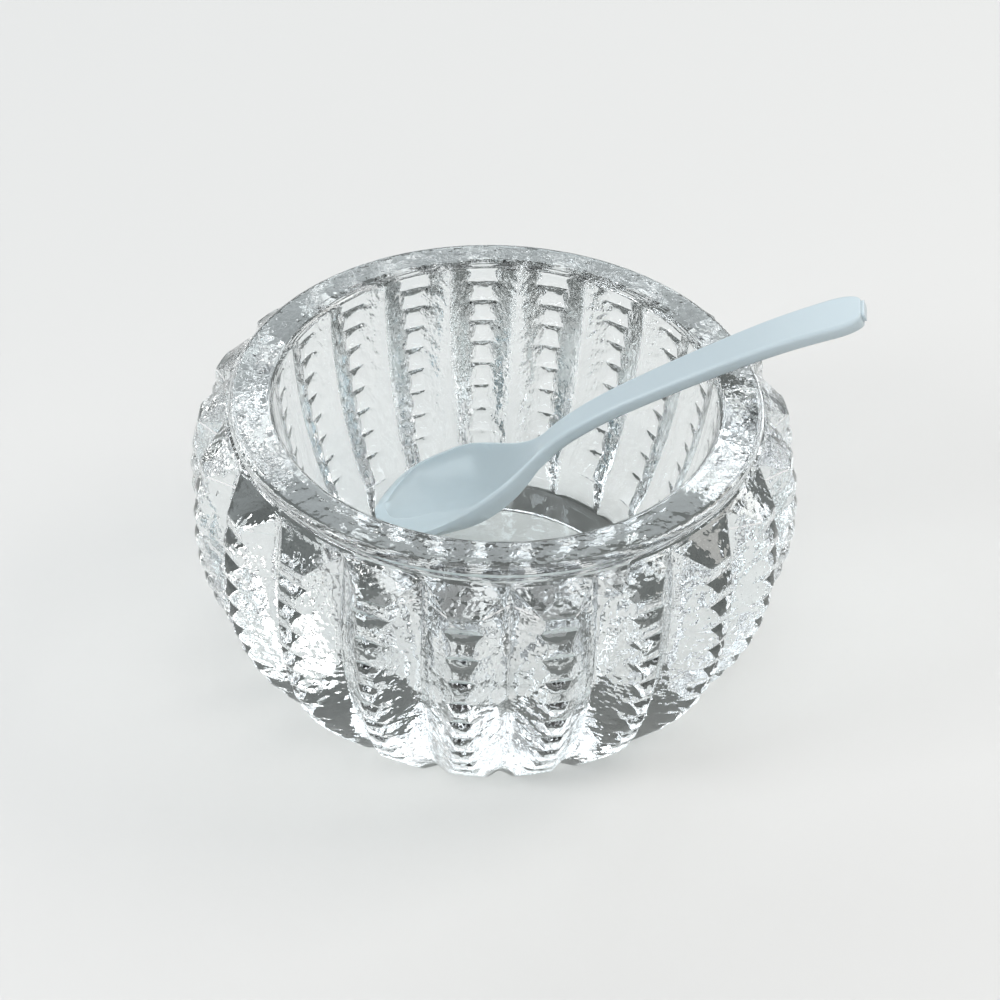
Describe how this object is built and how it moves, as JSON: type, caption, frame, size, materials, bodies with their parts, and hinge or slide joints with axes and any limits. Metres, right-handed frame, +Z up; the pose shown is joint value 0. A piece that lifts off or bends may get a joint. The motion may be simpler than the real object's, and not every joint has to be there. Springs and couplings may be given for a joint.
{
  "type": "salt cellar",
  "caption": "Low round ribbed pressed-glass open salt cellar with a thick flat rim, and a loose moulded salt spoon lying in it.",
  "frame": {"origin": "centre of the foot, on the surface that the cellar stands on", "axes": "+Z up out of the cup; +X towards the spoon's handle; -Y is the front"},
  "size_m": [0.062, 0.0567, 0.0378],
  "materials": {
    "pressed_glass": "clear, fire-polished, colourless with a faint cool cast",
    "milky_plastic": "satin, slightly translucent, pale blue-grey"
  },
  "bodies": {
    "cellar": {"glass_cellar": "pressed_glass"},
    "spoon": {"salt_spoon": "milky_plastic"}
  },
  "joints": [
    {"name": "spoon_lift", "type": "slide", "parent": "cellar", "child": "spoon", "axis": [0, 0, 1], "range_m": [0, 0.04]}
  ]
}
